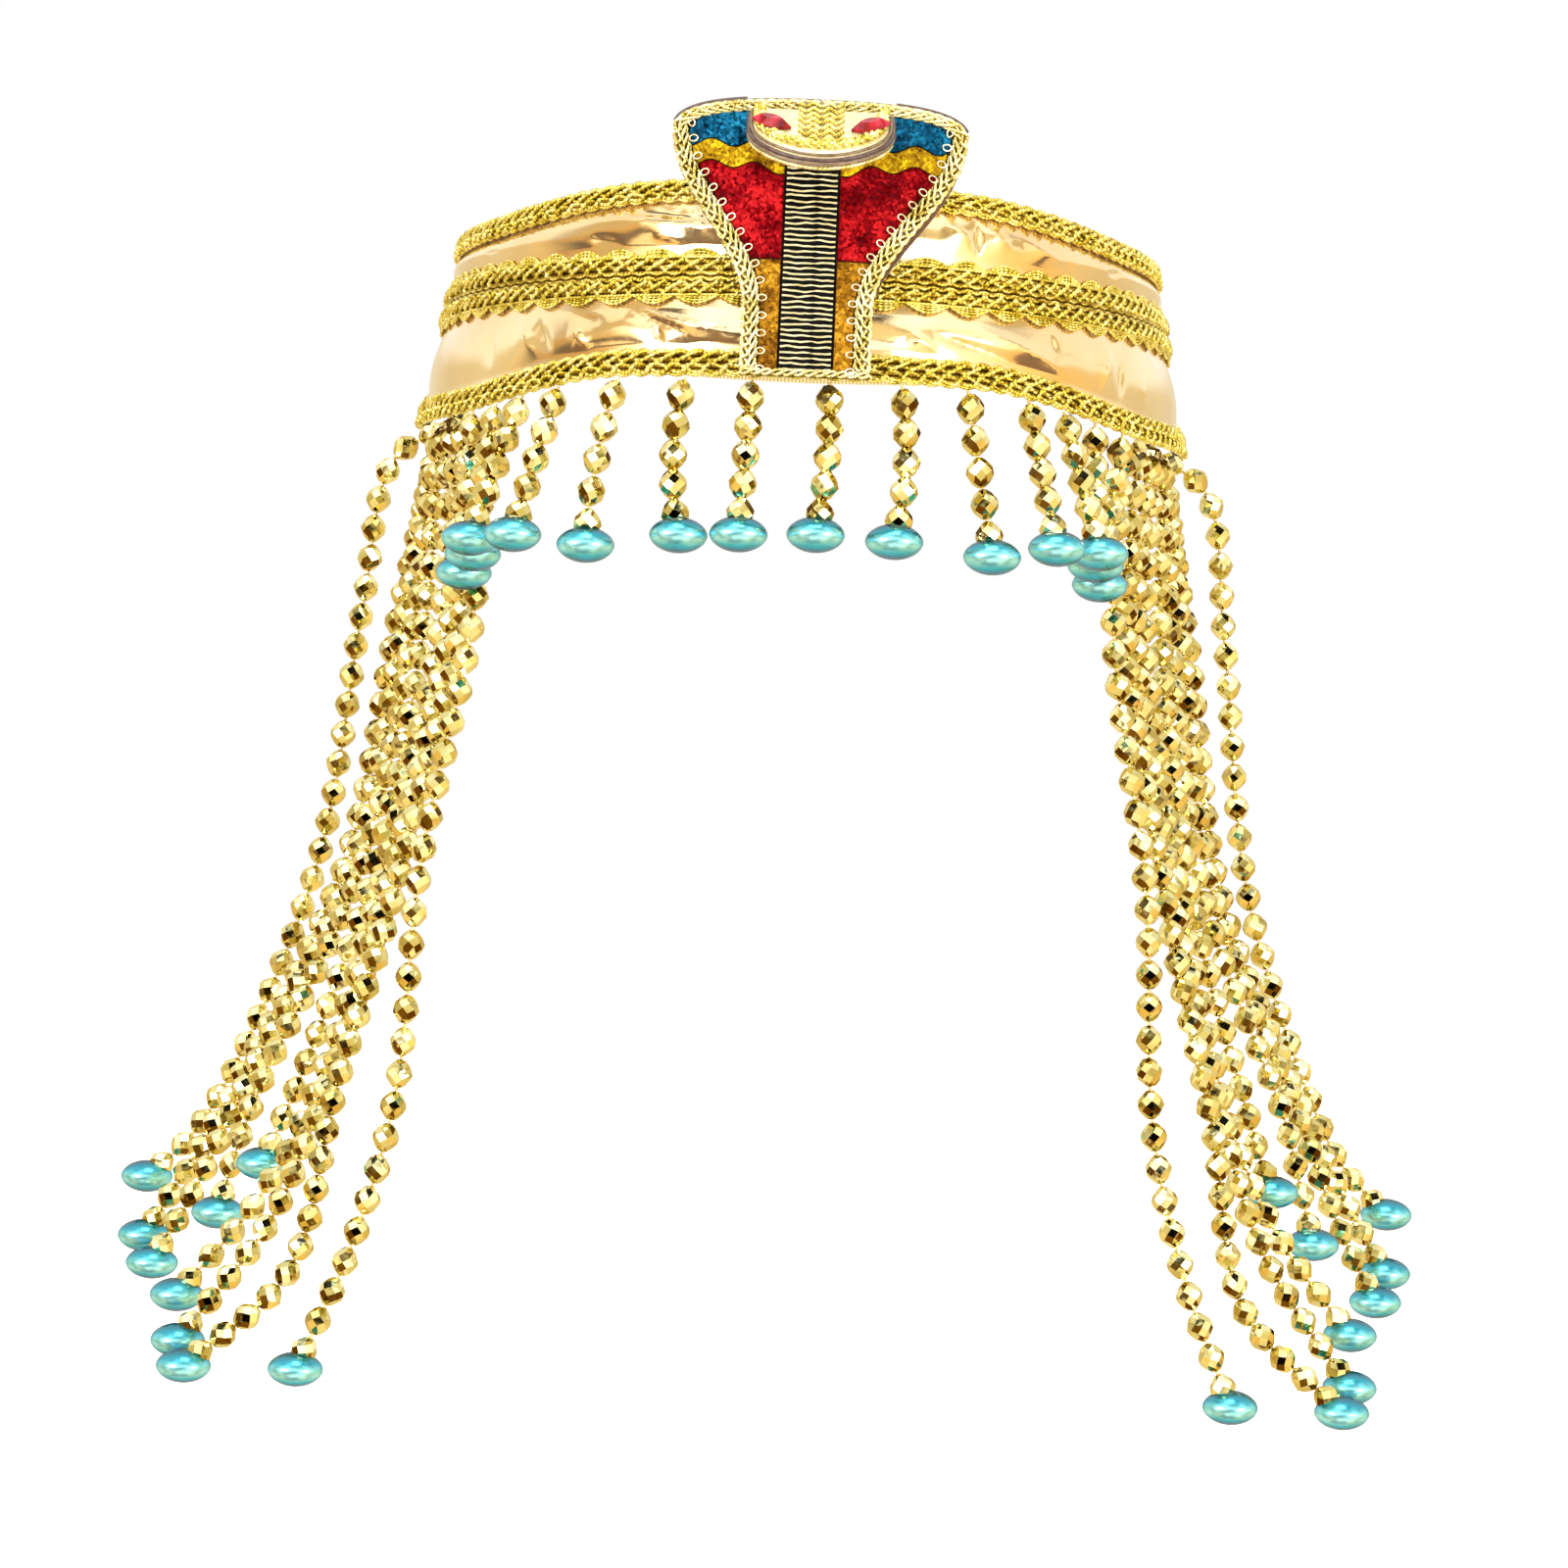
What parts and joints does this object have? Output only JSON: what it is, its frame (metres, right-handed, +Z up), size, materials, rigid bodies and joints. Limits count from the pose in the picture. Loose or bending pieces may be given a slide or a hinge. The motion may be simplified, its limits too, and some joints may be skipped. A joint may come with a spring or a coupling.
{
  "type": "beaded egyptian headdress",
  "caption": "Costume headdress: gold cloth band with braid trims, a cobra at the front, a short bead fringe and long bead strands with turquoise pearls at the sides.",
  "frame": {"origin": "centre of the head ring, on the plane of the band's lower edge", "axes": "+Z up, front with the cobra towards -Y, +X to the viewer's right"},
  "size_m": [0.2912, 0.2202, 0.266],
  "materials": {
    "gold_lame": "foil-faced gold lamé cloth, creased and mirror-like",
    "gold_braid": "metallic gimp braid of looped yarn",
    "gold_bead": "metallised faceted plastic beads",
    "blue_pearl": "pearlised turquoise plastic, at each strand's end",
    "elastic_webbing": "plain woven elastic",
    "hood_felt": "stiff felt",
    "head_cloth": "padded pale-gold satin",
    "belly_ribbing": "pale-gold corded ribs on black",
    "red_cloth": "red glitter cloth",
    "blue_cloth": "blue glitter cloth",
    "yellow_cloth": "yellow-gold glitter cloth",
    "orange_cloth": "orange-gold glitter cloth",
    "red_gem": "faceted red acrylic"
  },
  "bodies": {
    "root": {"band": "gold_lame", "bottom_braid": "gold_braid", "middle_braid_lower": "gold_braid", "middle_braid_upper": "gold_braid", "top_braid": "gold_braid", "back_elastic": "elastic_webbing", "cobra_hood": "hood_felt", "belly_ribbing": "belly_ribbing", "orange_panel_left": "orange_cloth", "orange_panel_right": "orange_cloth", "red_panel_left": "red_cloth", "red_panel_right": "red_cloth", "yellow_stripe_left": "yellow_cloth", "yellow_stripe_right": "yellow_cloth", "blue_panel_left": "blue_cloth", "blue_panel_right": "blue_cloth", "hood_braid_left": "gold_braid", "hood_braid_right": "gold_braid", "cobra_head": "head_cloth", "head_braid": "gold_braid", "eye_left": "red_gem", "eye_right": "red_gem", "fringe_strand_01": "gold_bead", "fringe_strand_02": "gold_bead", "fringe_strand_03": "gold_bead", "fringe_strand_04": "gold_bead", "fringe_strand_05": "gold_bead", "fringe_strand_06": "gold_bead", "fringe_strand_07": "gold_bead", "fringe_strand_08": "gold_bead", "fringe_strand_09": "gold_bead", "fringe_strand_10": "gold_bead", "fringe_strand_11": "gold_bead", "fringe_strand_12": "gold_bead", "fringe_strand_13": "gold_bead", "fringe_strand_14": "gold_bead", "side_strand_left_1": "gold_bead", "side_strand_left_2": "gold_bead", "side_strand_left_3": "gold_bead", "side_strand_left_4": "gold_bead", "side_strand_left_5": "gold_bead", "side_strand_left_6": "gold_bead", "side_strand_left_7": "gold_bead", "side_strand_left_8": "gold_bead", "side_strand_left_9": "gold_bead", "side_strand_right_1": "gold_bead", "side_strand_right_2": "gold_bead", "side_strand_right_3": "gold_bead", "side_strand_right_4": "gold_bead", "side_strand_right_5": "gold_bead", "side_strand_right_6": "gold_bead", "side_strand_right_7": "gold_bead", "side_strand_right_8": "gold_bead", "side_strand_right_9": "gold_bead"}
  },
  "joints": []
}
